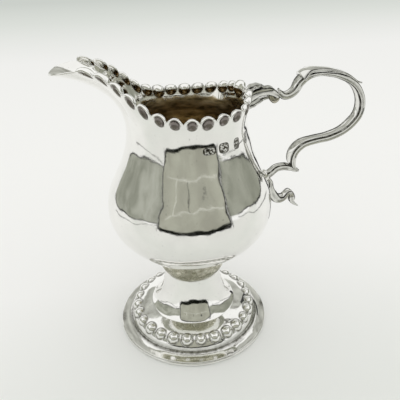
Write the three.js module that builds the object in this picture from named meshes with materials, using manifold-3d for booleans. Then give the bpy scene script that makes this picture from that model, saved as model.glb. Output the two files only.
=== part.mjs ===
// A hand-raised silver cream jug: pear-shaped bowl with a pulled-out lip and a scalloped rim,
// on a hollow spreading foot, with a cast double-scroll handle built up from soldered pieces.
// Millimetres, +Z up, +X towards the handle, -X towards the lip. The jug stands on Z = 0.
import * as THREE from "three";
import { mergeVertices } from "three/addons/utils/BufferGeometryUtils.js";
import Module from "manifold-3d";

const wasm = await Module();
wasm.setup();

// ---- driving dimensions ------------------------------------------------------------------
const GAP = 0.3; // clearance between neighbouring pieces, where the solder is

const FOOT_RADIUS = 31;
const FOOT_RIM_WIDTH = 3;
const FOOT_RIM_HEIGHT = 1.2;
const FOOT_SHEET = 0.6; // thickness of the foot's metal
const STEP_RADIUS = 20; // the flat step between the stem and the shoulder
const STEP_HEIGHT = 9.2;
const SHOULDER_RADIUS = 26.6; // where the shoulder's slope meets the flange
const STEM_RADIUS = 10.7; // top of the stem, under the collet
const STEM_TOP = 25.2;

const COLLET_HEIGHT = 8.6;
const COLLET_WALL = 1.5;
const COLLET_FLARE = 4.2; // how much wider the collet is at its top than at its bottom

const BOWL_WALL = 0.5;
const BOWL_DEPTH = 27.6; // from the bottom up to the belly's widest level
const BELLY_RADIUS = 31.2;
const NECK_RISE = 38; // from the belly's widest level up to where the sides stand upright
const NECK_RADIUS = 21.2;
const RIM_RADIUS = 22.3;
const RIM_RISE = 38.2; // from the belly's widest level up to the rim, where it is lowest
const RIM_HANDLE_RISE = 3.6; // how much higher the rim is at the handle
const LIP_RISE = 15.5; // how much higher the rim is at the top of the lip
const LIP_REACH = 44.5; // from the axis to the tip of the lip
const LIP_HALF_WIDTH = 8.4;
const SCALLOPS = 14; // on each side of the rim
const SCALLOP_HEIGHT = 1.7;
const SCALLOP_START = 3.6; // along the rim, from the handle's middle
const PLAIN_LIP = 14.5; // along the rim, from the last scallop to the tip of the lip

const STRAP_WIDTH = 4.8; // the main scroll, across
const STRAP_THICK = 2.1;
const STRAP_REACH = 66.2; // from the axis to the middle of the main scroll, where it is farthest
const LEAF_WIDTH = 8.4; // the thumb leaf's flared end, across
const LEAF_THICK = 0.9;
const SCROLL_WIDTH = 3.4; // the small scrolls and the tail, across
const SCROLL_THICK = 2.2;
const JOINT_LEVEL = 63.4; // height of the handle's lower joint
const HEEL_RISE = 3.7; // how much higher the main scroll's heel is than that joint
const TAIL_DROP = 13; // how far below the joint the tail reaches, where it is beside the bowl

// ---- levels that follow from them ----------------------------------------------------------
const colletTop = STEM_RADIUS + COLLET_FLARE;
const bellyHalf = [
  [0, 0], [BELLY_RADIUS * 0.17, BOWL_DEPTH * 0.02],
  [BELLY_RADIUS, BOWL_DEPTH * 0.43], [BELLY_RADIUS, BOWL_DEPTH],
];
const bowlBottom = STEM_TOP + COLLET_HEIGHT + 2 * GAP - riseAt(colletTop);
const bellyLevel = bowlBottom + BOWL_DEPTH;
const rimLevel = bellyLevel + RIM_RISE;

// ---- helpers -------------------------------------------------------------------------------
const jug = new THREE.Group();
const bright = new THREE.MeshStandardMaterial({ color: 0xdcdcd8, roughness: 0.12, metalness: 1 });
const tarnished = new THREE.MeshStandardMaterial({ color: 0xb3ad98, roughness: 0.45, metalness: 1 });

function mix(a, b, t) {
  return a + (b - a) * t;
}

function bezier2(points) {
  return new THREE.CubicBezierCurve(...points.map(([r, z]) => new THREE.Vector2(r, z)));
}

// The place on a curve where a rising measure of it reaches a value, found by halving.
function placeWhere(curve, measure, value) {
  let low = 0;
  let high = 1;
  for (let i = 0; i < 40; i++) {
    const middle = (low + high) / 2;
    if (measure(curve.getPoint(middle)) < value) low = middle;
    else high = middle;
  }
  return curve.getPoint(low);
}

// Height of the bowl's outside above its bottom, at a radius near the bottom.
function riseAt(radius) {
  return placeWhere(bezier2(bellyHalf), (p) => p.x, radius).y;
}

// Keeps only the positions of a closed geometry, with its shared vertices joined.
function joined(geometry) {
  const bare = new THREE.BufferGeometry();
  bare.setAttribute("position", geometry.getAttribute("position"));
  bare.setIndex(geometry.getIndex());
  return mergeVertices(bare, 1e-4);
}

function solidOf(geometry) {
  const g = joined(geometry);
  return new wasm.Manifold(new wasm.Mesh({
    numProp: 3,
    vertProperties: new Float32Array(g.getAttribute("position").array),
    triVerts: new Uint32Array(g.getIndex().array),
  }));
}

function geometryOf(solid) {
  const made = solid.getMesh();
  const g = new THREE.BufferGeometry();
  g.setAttribute("position", new THREE.BufferAttribute(made.vertProperties, 3));
  g.setIndex(new THREE.BufferAttribute(made.triVerts, 1));
  return g;
}

// Adds one piece of the jug, less the room its neighbours take.
function addPiece(name, geometry, material, neighbours = []) {
  let solid = solidOf(geometry);
  for (const other of neighbours) solid = solid.subtract(other);
  const mesh = new THREE.Mesh(geometryOf(solid), material);
  mesh.geometry.computeVertexNormals();
  mesh.name = name;
  jug.add(mesh);
}

// A closed ring turned from a half-section: (radius, height) points going round it.
function turned(points, segments) {
  const outline = points.map(([r, z]) => new THREE.Vector2(r, z));
  outline.push(outline[0].clone());
  const g = new THREE.LatheGeometry(outline, segments);
  return g.rotateX(Math.PI / 2); // the lathe turns about Y
}

// The same line, moved sideways to its left by a distance: the other side of a sheet.
function beside(points, distance) {
  return points.map(([r, z], i) => {
    const [r0, z0] = points[Math.max(i - 1, 0)];
    const [r1, z1] = points[Math.min(i + 1, points.length - 1)];
    const length = Math.hypot(r1 - r0, z1 - z0);
    return [r - distance * (z1 - z0) / length, z + distance * (r1 - r0) / length];
  });
}

function sampled(points, steps) {
  return bezier2(points).getPoints(steps).map((p) => [p.x, p.y]);
}

// ---- foot rim: a flat wire on which the jug stands -------------------------------------------
{
  const inside = FOOT_RADIUS - FOOT_RIM_WIDTH;
  const middle = FOOT_RIM_HEIGHT / 2;
  const bulge = FOOT_RADIUS + 0.2;
  addPiece("foot_rim", turned([
    [inside, 0], [FOOT_RADIUS, 0], [bulge, middle], [FOOT_RADIUS, FOOT_RIM_HEIGHT], [inside, FOOT_RIM_HEIGHT],
  ], 64), bright);
}

// ---- foot: stem, flat step, shoulder and flange, all of one sheet ----------------------------
{
  const flange = FOOT_RIM_HEIGHT + GAP + FOOT_SHEET;
  const edge = FOOT_RADIUS - 0.4;
  const outside = [
    ...sampled([[STEM_RADIUS, STEM_TOP], [STEM_RADIUS, STEM_TOP * 0.62],
      [STEM_RADIUS * 1.25, STEP_HEIGHT + 0.8], [STEP_RADIUS, STEP_HEIGHT]], 8),
    ...sampled([[STEP_RADIUS, STEP_HEIGHT], [mix(STEP_RADIUS, SHOULDER_RADIUS, 0.75), STEP_HEIGHT],
      [mix(STEP_RADIUS, SHOULDER_RADIUS, 0.8), flange + 0.8], [SHOULDER_RADIUS, flange + 0.4]], 6).slice(1),
    [mix(SHOULDER_RADIUS, edge, 0.5), flange],
    [edge, flange],
  ];
  const inside = beside(outside, -FOOT_SHEET);
  addPiece("foot", turned([...outside, ...inside.reverse()].reverse(), 52), bright);
}

// ---- collet: the conical ring between the foot and the bowl ----------------------------------
{
  const bottom = STEM_TOP + GAP;
  const outer = colletTop;
  const inner = colletTop - COLLET_WALL;
  const under = (radius) => bowlBottom + riseAt(radius) - GAP;
  const cup = (top, low) => sampled([
    [low, bottom], [mix(low, top, 0.6), bottom + COLLET_HEIGHT * 0.25], [top, bottom + COLLET_HEIGHT * 0.55],
    [top, under(top)],
  ], 4);
  addPiece("collet", turned([
    ...cup(outer, STEM_RADIUS), ...cup(inner, STEM_RADIUS - COLLET_WALL).reverse(),
  ], 48), tarnished);
}

// ---- bowl ------------------------------------------------------------------------------------
// The rim seen from above and from the side, from the handle round to the tip of the lip:
// (x, y, height above the rim's lowest level), without the scallops.
const rimHalf = [
  [RIM_RADIUS, 0, RIM_HANDLE_RISE],
  [RIM_RADIUS * 0.93, RIM_RADIUS * 0.37, RIM_HANDLE_RISE * 0.85],
  [RIM_RADIUS * 0.73, RIM_RADIUS * 0.75, RIM_HANDLE_RISE * 0.35],
  [RIM_RADIUS * 0.35, RIM_RADIUS * 0.94, RIM_HANDLE_RISE * 0.08],
  [-RIM_RADIUS * 0.05, RIM_RADIUS, 0],
  [-RIM_RADIUS * 0.38, RIM_RADIUS * 0.94, LIP_RISE * 0.03],
  [-RIM_RADIUS * 0.67, RIM_RADIUS * 0.79, LIP_RISE * 0.17],
  [-LIP_REACH * 0.47, mix(LIP_HALF_WIDTH, RIM_RADIUS, 0.5), LIP_RISE * 0.48],
  [-LIP_REACH * 0.65, LIP_HALF_WIDTH * 1.3, LIP_RISE * 0.88],
  [-LIP_REACH * 0.81, LIP_HALF_WIDTH, LIP_RISE],
  [-LIP_REACH * 0.93, LIP_HALF_WIDTH * 0.83, LIP_RISE * 0.95],
  [-LIP_REACH * 0.985, LIP_HALF_WIDTH * 0.4, LIP_RISE * 0.89],
  [-LIP_REACH, 0, LIP_RISE * 0.86],
];
const otherHalf = rimHalf.slice(1, -1).reverse().map(([x, y, z]) => [x, -y, z]);
const rim = new THREE.CatmullRomCurve3(
  [...rimHalf, ...otherHalf].map(([x, y, z]) => new THREE.Vector3(x, y, rimLevel + z)), true, "centripetal",
);
rim.arcLengthDivisions = 2000;
const rimLength = rim.getLength();

// The bowl's half-section stands in an upright plane through the axis and one point of the rim.
// v runs 0 to 1 from the bottom to the belly, to 2 at the base of the neck, and to 3 at the rim.
const lower = bezier2(bellyHalf.map(([r, z]) => [r, bowlBottom + z]));
const upper = bezier2([
  [BELLY_RADIUS, bellyLevel], [BELLY_RADIUS, bellyLevel + NECK_RISE * 0.32],
  [NECK_RADIUS, bellyLevel + NECK_RISE * 0.455], [NECK_RADIUS, bellyLevel + NECK_RISE],
]);
const NECK_BASE = 0.75; // where on the upper curve the neck begins
const FIRST_PULL = [0.42, 0.5]; // how far the neck keeps the body's direction, at the sides and at the lip
const LAST_PULL = 0.38; // how far the rim's own direction reaches down the neck
const RIM_TILT = [15, 80]; // how far the rim leans outwards, in degrees, at the sides and at the lip
const SCALLOP_FOOT = 2.88; // the v at which a scallop begins to rise

function bowlPoint(u, v) {
  const edge = rim.getPointAt(((u % 1) + 1) % 1);
  const reach = Math.hypot(edge.x, edge.y);
  let at;
  if (v <= 1) at = lower.getPoint(v);
  else if (v <= 2) at = upper.getPoint((v - 1) * NECK_BASE);
  else {
    const start = upper.getPoint(NECK_BASE);
    const rising = upper.getTangent(NECK_BASE);
    const lean = THREE.MathUtils.smoothstep(-edge.x / LIP_REACH, 0.4, 1);
    const tilt = THREE.MathUtils.degToRad(mix(...RIM_TILT, lean));
    const span = Math.hypot(reach - start.x, edge.z - start.y);
    const first = span * mix(...FIRST_PULL, tilt);
    const last = span * LAST_PULL;
    at = bezier2([
      [start.x, start.y], [start.x + rising.x * first, start.y + rising.y * first],
      [reach - Math.sin(tilt) * last, edge.z - Math.cos(tilt) * last], [reach, edge.z],
    ]).getPoint(v - 2);
  }
  return new THREE.Vector3(edge.x / reach * at.x, edge.y / reach * at.x, at.y);
}

// The point moved along the surface's outward normal.
function besideBowl(u, v, distance) {
  const at = bowlPoint(u, v);
  if (v < 0.01) return at.setZ(at.z - distance);
  const small = 1e-3;
  const around = bowlPoint(u + small, v).sub(bowlPoint(u - small, v));
  const up = bowlPoint(u, Math.min(v + small, 3)).sub(bowlPoint(u, v - small));
  return at.addScaledVector(around.cross(up).normalize(), distance);
}

// Places along the rim, from the handle round to the lip and back, with the scallop's height.
const stations = (() => {
  const pitch = (rimLength / 2 - PLAIN_LIP - SCALLOP_START) / SCALLOPS;
  const half = [[0, 0], [SCALLOP_START * 0.5, 0]];
  for (let i = 0; i < SCALLOPS; i++) {
    for (const [part, share] of [[0, 0], [1 / 3, 1], [2 / 3, 1]]) {
      half.push([SCALLOP_START + (i + part) * pitch, SCALLOP_HEIGHT * share]);
    }
  }
  const steps = 5;
  for (let i = 0; i <= steps; i++) half.push([rimLength / 2 - PLAIN_LIP * (1 - i / steps), 0]);
  const back = half.slice(1, -1).reverse().map(([s, h]) => [rimLength - s, h]);
  return [...half, ...back, [rimLength, 0]].map(([s, h]) => [s / rimLength, h]);
})();
const bowlRows = [0, 0.25, 0.48, 0.74, 1, 1.35, 1.7, 2, 2.25, 2.48, 2.7, SCALLOP_FOOT, 3];

// A closed body whose vertex rows are places (u, v, distance outside the bowl's own outside).
function bowlBody(rows, top) {
  const count = rows.length + (top ? 1 : 0);
  const blank = Array.from({ length: count }, (_, j) => new THREE.Vector2(1, j));
  const g = new THREE.LatheGeometry(blank, stations.length - 1);
  const p = g.getAttribute("position");
  for (let k = 0; k < p.count; k++) {
    const j = k % count;
    const [u, scallop] = stations[Math.floor(k / count) % (stations.length - 1)];
    if (j === rows.length) {
      p.setXYZ(k, top.x, top.y, top.z);
      continue;
    }
    const [v, distance] = rows[j];
    const at = besideBowl(u, v, distance);
    const lift = Math.max(0, (v - SCALLOP_FOOT) / (3 - SCALLOP_FOOT)) * scallop;
    const direction = bowlPoint(u, 3).sub(bowlPoint(u, 2.97)).normalize();
    at.addScaledVector(direction, lift);
    p.setXYZ(k, at.x, at.y, at.z);
  }
  return g;
}

{
  const outside = bowlRows.map((v) => [v, 0]);
  const inside = bowlRows.map((v) => [v, -BOWL_WALL]);
  addPiece("bowl", bowlBody([...outside, ...inside.reverse()]), bright);
}
// The room that the bowl and what it holds take, with the clearance: handle pieces stop at it.
const aboveBowl = new THREE.Vector3(0, 0, rimLevel + LIP_RISE);
const bowlRoom = solidOf(bowlBody(bowlRows.map((v) => [v, GAP]), aboveBowl));

// ---- handle ----------------------------------------------------------------------------------
// A smooth line in the handle's upright plane through (x, z) points.
function line(points) {
  const places = points.map(([x, z]) => new THREE.Vector3(x, 0, z));
  return new THREE.CatmullRomCurve3(places, false, "centripetal");
}

// A bar with a rounded section carried along a line. Its width (across the plane) and thickness
// are functions of s, which runs from 0 to 1 along it. `grow` makes it bigger all round.
function bar({ path, width, thick, sides = 10, rings = 16, offset = () => 0 }, grow = 0) {
  const g = new THREE.CylinderGeometry(1, 1, 1, sides, rings);
  const p = g.getAttribute("position");
  for (let i = 0; i < p.count; i++) {
    const s = p.getY(i) + 0.5;
    const along = path.getTangentAt(s);
    const atEnd = s === 0 || s === 1;
    const at = path.getPointAt(s).addScaledVector(along, atEnd ? (s < 0.5 ? -grow : grow) : 0);
    const [a, b] = [p.getX(i), p.getZ(i)].map((c) => Math.sign(c) * Math.abs(c) ** 0.8);
    const across = a * (width(s) / 2 + grow);
    const out = b * (thick(s) / 2 + grow) + offset(s);
    p.setXYZ(i, at.x + along.z * out, across, at.z - along.x * out);
  }
  return g;
}

const steady = (size) => () => size;
// A rounded hump of height 1 about a place, falling to 0 at `reach` on each side of it.
const bump = (s, place, reach) => Math.cos(Math.PI / 2 * Math.min(1, Math.abs(s - place) / reach)) ** 2;
// Full size that narrows to a share of it over the last part.
const narrowing = (size, share, start = 0.6) =>
  (s) => size * mix(1, share, THREE.MathUtils.smoothstep(s, start, 1));
// A spindle: narrow at both ends.
const spindle = (size, first, last) =>
  (s) => size * (s < 0.5 ? mix(first, 1, Math.sin(Math.PI * s)) : mix(last, 1, Math.sin(Math.PI * s)));

const rootLevel = rimLevel + 1.2;
const heelZ = JOINT_LEVEL + HEEL_RISE;
// The loop's points are drawn for a handle from 22.3 to 66.2, whose heel is 27.9 below its root.
// They are stretched to the real reach, and below the root to the real heel.
const stretch = (x) => mix(RIM_RADIUS, STRAP_REACH, (x - 22.3) / (66.2 - 22.3));
const fromRoot = (points) => line(points.map(([x, z]) => [stretch(x), rootLevel + z]));
const lowered = (z) => (z < 0 ? z * (rootLevel - heelZ) / 27.9 : z);

const mainScroll = {
  path: line([
    [33.6, 1.1], [35.2, -0.2], [37.2, -0.2], [39.4, 1.3], [41.0, 4.2], [43.6, 6.3], [47.6, 6.9], [52.4, 6.4],
    [57.6, 4.9], [62.3, 2.2], [65.2, -1.8], [66.2, -6.2], [65.5, -10.0], [63.1, -13.2], [59.8, -15.7],
    [54.8, -17.6], [48.5, -18.5], [43.9, -19.6], [41.1, -22.2], [40.2, -25.4], [40.5, -27.7],
  ].map(([x, z]) => [stretch(x), rootLevel + lowered(z)])),
  width: (s) => STRAP_WIDTH * mix(0.75, 1, THREE.MathUtils.smoothstep(s, 0, 0.4))
    + (LEAF_WIDTH * 0.8 - STRAP_WIDTH) * bump(s, 0.14, 0.07),
  thick: (s) => STRAP_THICK * (1 - 0.4 * bump(s, 0.24, 0.16)) * mix(1, 0.85, s),
  rings: 44,
};
const upperScroll = {
  path: fromRoot([[21.6, -0.9], [23.6, 0.4], [26.2, 1.7], [28.9, 1.9], [31.2, 1.1], [32.9, 0.2]]),
  width: spindle(SCROLL_WIDTH, 0.8, 0.8),
  thick: narrowing(SCROLL_THICK, 0.8),
};
const upperCurl = {
  path: fromRoot([[31.0, -0.6], [31.6, -1.9], [32.6, -2.2], [33.5, -1.4]]),
  width: spindle(SCROLL_WIDTH * 0.9, 0.7, 0.7),
  thick: steady(1.3),
  rings: 8,
};
const thumbLeaf = {
  path: fromRoot([[41.4, 7.8], [44.0, 8.4], [48.0, 8.6], [52.8, 8.0], [58.2, 6.4], [62.4, 4.2], [65.8, 2.4]]),
  width: (s) => mix(LEAF_WIDTH * mix(1, 0.5, THREE.MathUtils.smoothstep(s, 0, 0.45)), 1.2,
    THREE.MathUtils.smoothstep(s, 0.5, 1)),
  thick: narrowing(LEAF_THICK, 0.7),
  rings: 18,
};
const upperLeaf = {
  path: fromRoot([[22.2, 2.6], [24.0, 3.4], [26.0, 3.6], [27.6, 3.3]]),
  width: spindle(5, 0.7, 0.4),
  thick: steady(0.9),
  rings: 8,
};
const lowerLeaf = {
  path: fromRoot([[22.6, -3.3], [24.6, -2.4], [26.9, -1.2], [29.4, -0.9]]),
  width: spindle(4, 0.8, 0.4),
  thick: steady(0.9),
  rings: 8,
};

const jointX = placeWhere(upper, (p) => p.y, JOINT_LEVEL).x + 0.2;
const heelX = stretch(40.6);
const lowerScroll = {
  path: line([
    [jointX + 2.0, JOINT_LEVEL + 0.4], [mix(jointX, heelX, 0.42), mix(JOINT_LEVEL, heelZ, 0.75)],
    [mix(jointX, heelX, 0.72), heelZ - 0.6], [heelX - 0.3, heelZ - 1.6], [heelX + 1.2, heelZ - 2.6],
    [heelX + 2.6, heelZ - 2.4],
  ]),
  width: narrowing(SCROLL_WIDTH, 0.7),
  thick: narrowing(SCROLL_THICK, 0.55),
};
// The tail starts at the joint and hangs clear of the widest part of the bowl beside it.
const tailFoot = JOINT_LEVEL - TAIL_DROP;
const widestBeside = tailFoot < bellyLevel ? BELLY_RADIUS : placeWhere(upper, (p) => p.y, tailFoot).x;
const tailX = widestBeside + 0.7;
const tailScroll = {
  path: line([
    [jointX + 1.9, JOINT_LEVEL - 2.2],
    ...[
      [0.6, -5.6], [1.7, -8.9], [3.8, -10.6], [6.0, -10.3], [7.2, -8.9], [8.3, -8.2], [9.4, -8.9],
    ].map(([x, z]) => [tailX + x, JOINT_LEVEL + z]),
  ]),
  width: spindle(SCROLL_WIDTH, 0.6, 0.7),
  thick: (s) => mix(1.3, 2.9, Math.sin(Math.PI * Math.min(1, s * 1.1)) ** 2),
  rings: 20,
};
const tailBud = {
  path: line([[9.4, -9.4], [9.5, -11.2], [9.9, -12.6]].map(([x, z]) => [tailX + x, JOINT_LEVEL + z])),
  width: spindle(3.2, 0.7, 0.6),
  thick: spindle(3.0, 0.7, 0.6),
  rings: 8,
};
const tailDrop = {
  path: line([[10.1, -13.0], [11.1, -14.0], [12.4, -15.0]].map(([x, z]) => [tailX + x, JOINT_LEVEL + z])),
  width: narrowing(1.6, 0.3, 0.2),
  thick: narrowing(1.5, 0.3, 0.2),
  rings: 6,
};
const tailLeaf = {
  path: line([[-0.6, -7.6], [-0.8, -10.2], [-1.2, -13.0]].map(([x, z]) => [tailX + x, JOINT_LEVEL + z])),
  width: narrowing(3.0, 0.3, 0.2),
  thick: steady(0.9),
  rings: 6,
};

// The pad at the lower joint: a flattened ball of solder and silver that rests against the bowl.
const pad = (grow) => new THREE.SphereGeometry(1, 16, 10)
  .scale(1.6 + grow, 2.6 + grow, 2.4 + grow) // its half sizes out from, across and up the bowl
  .translate(jointX, 0, JOINT_LEVEL);

const room = (spec) => solidOf(bar(spec, GAP));
const padRoom = solidOf(pad(GAP));

addPiece("main_scroll", bar(mainScroll), bright);
addPiece("upper_scroll", bar(upperScroll), bright, [bowlRoom, room(mainScroll)]);
addPiece("upper_curl", bar(upperCurl), bright, [room(upperScroll), room(mainScroll)]);
addPiece("thumb_leaf", bar(thumbLeaf), bright, [room(mainScroll)]);
addPiece("upper_leaf", bar(upperLeaf), bright, [bowlRoom, room(upperScroll)]);
addPiece("lower_leaf", bar(lowerLeaf), bright, [bowlRoom, room(upperScroll), room(upperCurl)]);
addPiece("lower_joint", pad(0), bright, [bowlRoom]);
addPiece("lower_scroll", bar(lowerScroll), bright, [bowlRoom, padRoom, room(mainScroll)]);
addPiece("tail_scroll", bar(tailScroll), bright, [bowlRoom, padRoom, room(lowerScroll)]);
addPiece("tail_leaf", bar(tailLeaf), bright, [bowlRoom, room(tailScroll)]);
addPiece("tail_bud", bar(tailBud), bright, [room(tailScroll)]);
addPiece("tail_drop", bar(tailDrop), bright, [room(tailBud)]);

// ---- the origin is under the middle of the jug's own box, on the ground ------------------------
const box = new THREE.Box3().setFromObject(jug);
const middle = box.getCenter(new THREE.Vector3());
jug.position.set(-middle.x, -middle.y, -box.min.z);

export default jug;
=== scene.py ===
"""A hand-raised silver cream jug: pear-shaped bowl with a punched and scalloped rim, a spreading
foot with a ring of raised bosses, and a cast double-scroll handle soldered on.

Every surface is computed from a few real sizes in millimetres, measured from the jug's upright axis,
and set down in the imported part's own frame in metres."""

import bpy
import numpy as np
from mathutils import Matrix, Vector


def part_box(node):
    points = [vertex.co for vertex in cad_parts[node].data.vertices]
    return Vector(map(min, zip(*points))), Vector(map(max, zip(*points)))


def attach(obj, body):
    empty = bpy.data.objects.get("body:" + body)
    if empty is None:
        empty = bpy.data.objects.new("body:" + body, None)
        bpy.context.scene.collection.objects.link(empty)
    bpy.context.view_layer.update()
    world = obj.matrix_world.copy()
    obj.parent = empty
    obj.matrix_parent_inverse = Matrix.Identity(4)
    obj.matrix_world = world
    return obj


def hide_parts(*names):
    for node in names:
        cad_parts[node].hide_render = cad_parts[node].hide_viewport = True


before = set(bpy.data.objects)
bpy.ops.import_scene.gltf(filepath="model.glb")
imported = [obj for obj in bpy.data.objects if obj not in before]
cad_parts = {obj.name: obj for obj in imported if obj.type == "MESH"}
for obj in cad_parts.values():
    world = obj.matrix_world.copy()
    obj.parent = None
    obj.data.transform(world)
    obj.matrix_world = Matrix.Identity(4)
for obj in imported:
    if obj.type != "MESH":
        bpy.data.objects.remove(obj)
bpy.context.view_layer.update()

# ---- foot rim -----------------------------------------------------------------------------------
# A flat silver wire soldered under the foot's edge, on which the jug stands. Silver, worn smooth
# and a little nicked. This section also makes the tools that every later piece is made with.
rim_low, rim_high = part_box("foot_rim")
AXIS = np.array([(rim_low.x + rim_high.x) / 2, (rim_low.y + rim_high.y) / 2, 0.0])
MM = 0.001
FOOT_RADIUS = 31.0
GOLDEN = 2.399963  # an angle that spreads the wave directions evenly


def mix(a, b, t):
    return a + (b - a) * t


def smooth(t, low, high):
    """0 below low, 1 above high, and an S-shaped rise between: 3t^2 - 2t^3."""
    t = np.clip((t - low) / (high - low), 0, 1)
    return t * t * (3 - 2 * t)


def bezier(points, t):
    """Places on a cubic Bezier curve through four control points."""
    p = np.array(points, float)
    t = np.asarray(t)[..., None]
    s = 1 - t
    return s**3 * p[0] + 3 * s * s * t * p[1] + 3 * s * t * t * p[2] + t**3 * p[3]


def hammering(points, lengths, height, seed):
    """Unevenness left by the hammer: a sum of sine waves that run in many directions through space,
    each of one wavelength from `lengths`, all of the same slope, with `height` the total in mm."""
    rng = np.random.default_rng(seed)
    total = np.zeros(points.shape[:-1])
    for k, length in enumerate(lengths):
        up = rng.uniform(-0.8, 0.8)
        turn = k * GOLDEN + rng.uniform(0, 1)
        flat = np.sqrt(1 - up * up)
        way = np.array([flat * np.cos(turn), flat * np.sin(turn), up])
        total += length * np.sin(points @ way * (2 * np.pi / length) + rng.uniform(0, 6.28))
    return total * height / np.sum(lengths)


def skin(name, rings, first=None, last=None, loop=False):
    """A closed smooth skin over rings of points (ring, place round it, xyz in mm about the axis).
    Rings join their neighbours; the ends join each other (loop) or close onto one point each."""
    count, around = rings.shape[:2]
    places = rings.reshape(-1, 3)
    index = np.arange(count * around).reshape(count, around)
    ahead = np.roll(index, -1, 1)
    pairs = np.arange(count if loop else count - 1)
    after = (pairs + 1) % count
    quads = np.stack([index[pairs], ahead[pairs], ahead[after], index[after]], -1).reshape(-1, 4)
    faces = [quads]
    if not loop:
        for ring, tip, turned in ((0, first, True), (count - 1, last, False)):
            tip = rings[ring].mean(0) if tip is None else tip
            places = np.vstack([places, [tip]])
            fan = np.stack([index[ring], ahead[ring], np.full(around, len(places) - 1)], -1)
            faces.append(fan[:, ::-1] if turned else fan)
    a, b, c, d = (places[quads[:, k]] for k in (0, 1, 2, 3))
    volume = np.einsum("ij,ij->", a, np.cross(b, c)) + np.einsum("ij,ij->", a, np.cross(c, d))
    lists = [list(map(int, f)) for part in faces for f in (part if volume > 0 else part[:, ::-1])]
    mesh = bpy.data.meshes.new(name)
    mesh.from_pydata((places * MM + AXIS).tolist(), [], lists)
    mesh.polygons.foreach_set("use_smooth", np.ones(len(lists), bool))
    mesh.update()
    made = bpy.data.objects.new(name, mesh)
    bpy.context.scene.collection.objects.link(made)
    return made


def paint(piece, name, values):
    """Stores one number for each point of the piece, for its material to read."""
    values = np.ravel(values).astype(np.float32)
    full = np.zeros(len(piece.data.vertices), np.float32)
    full[: len(values)] = values
    if len(full) > len(values):
        full[len(values):] = values[-1]
    piece.data.attributes.new(name, "FLOAT", "POINT").data.foreach_set("value", full)


class Shader:
    """A material's node tree, built node by node: `add` makes a node, sets its plain values by
    socket name, and links the ones given as sockets."""

    def __init__(self, name):
        self.material = bpy.data.materials.new(name)
        self.material.use_nodes = True
        self.tree = self.material.node_tree
        self.surface = self.tree.nodes["Principled BSDF"]
        self.place = self.add("ShaderNodeTexCoord").outputs["Object"]

    def add(self, kind, settings=None, **sockets):
        node = self.tree.nodes.new(kind)
        for key, value in (settings or {}).items():
            setattr(node, key, value)
        for key, value in sockets.items():
            self.put(node, key, value)
        return node

    def put(self, node, key, value):
        """Sets or links a socket, given by name, or by its place in the list as _0, _1 and so on."""
        numbered = key[0] == "_" and key[1:].isdigit()
        socket = node.inputs[int(key[1:]) if numbered else key.replace("_", " ")]
        if isinstance(value, bpy.types.NodeSocket):
            self.tree.links.new(value, socket)
        else:
            socket.default_value = value

    def math(self, operation, a, b=0.0):
        node = self.add("ShaderNodeMath", {"operation": operation}, _0=a, _1=b)
        return node.outputs[0]

    def noise(self, size, detail=3.0, stretch=None):
        """Smooth random values 0 to 1 with features of one size in mm."""
        place = self.place
        if stretch:
            place = self.add("ShaderNodeMapping", Vector=place, Scale=stretch).outputs[0]
        return self.add("ShaderNodeTexNoise", Vector=place, Scale=1 / (size * MM), Detail=detail).outputs[0]

    def steps(self, value, stops):
        """A colour or grey chosen by a value: (place, grey or colour) pairs."""
        ramp = self.add("ShaderNodeValToRGB", Fac=value)
        found = ramp.color_ramp.elements
        while len(found) < len(stops):
            found.new(0.5)
        for element, (at, colour) in zip(found, stops):
            element.position = at
            element.color = (*colour, 1) if isinstance(colour, tuple) else (colour, colour, colour, 1)
        return ramp.outputs[0]

    def blend(self, amount, first, second):
        node = self.add("ShaderNodeMix", {"data_type": "RGBA"})
        self.put(node, "_0", amount)
        for key, value in (("_6", first), ("_7", second)):
            self.put(node, key, (*value, 1) if isinstance(value, tuple) else value)
        return node.outputs[2]


def silver(name, tarnish=0.25, colour=(0.93, 0.925, 0.90), dark=(0.16, 0.145, 0.105)):
    """Old polished silver: nearly a mirror, faintly clouded, with hair scratches, a few dark specks
    and the `dark` colour set by a number on each point (0 none, 1 or more full): tarnish that stays
    in hollows, and painted shade along some edges, creases and sides."""
    s = Shader(name)
    cloud = s.noise(7, 4)
    speck = s.steps(s.noise(1.1, 2), [(0.0, 0.0), (0.70, 0.0), (0.78, 1.0)])
    # Each point's number: tarnish in hollows, and painted shade on some edges, creases and sides.
    tarnish_and_shade = s.add("ShaderNodeAttribute", {"attribute_name": "tarnish_and_shade"}).outputs["Fac"]
    ragged = s.math("MULTIPLY", tarnish_and_shade, s.steps(s.noise(1.4), [(0.3, 0.45), (0.65, 1.0)]))
    dirt_and_shade = s.math("MINIMUM", s.math("ADD", ragged, s.math("MULTIPLY", speck, tarnish)), 1.0)
    tone = s.blend(s.steps(cloud, [(0.35, 0.0), (0.7, 1.0)]), colour, tuple(c * 0.93 for c in colour))
    s.put(s.surface, "Base Color", s.blend(dirt_and_shade, tone, dark))
    s.put(s.surface, "Metallic", 1.0)
    haze = s.steps(s.noise(3.5, 5), [(0.3, 0.045), (0.75, 0.105)])
    s.put(s.surface, "Roughness", s.math("ADD", haze, s.math("MULTIPLY", dirt_and_shade, 0.3)))
    scratch = s.noise(0.5, 2, (1.0, 0.25, 3.0))
    dents = s.math("ADD", s.noise(2.6, 2), s.math("MULTIPLY", scratch, 0.12))
    bump = s.add("ShaderNodeBump", Strength=0.35, Distance=0.06 * MM, Height=dents)
    s.put(s.surface, "Normal", bump.outputs[0])
    return s


def set_piece(piece, node, shader):
    piece.data.materials.append(shader.material)
    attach(piece, "root")
    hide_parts(node)


def turned(outline, angles):
    """Rings of a half-section of (radius, height) points turned about the axis."""
    r, z = outline[:, 0, None], outline[:, 1, None]
    return np.stack([r * np.cos(angles), r * np.sin(angles), z + 0 * angles], -1)


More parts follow.
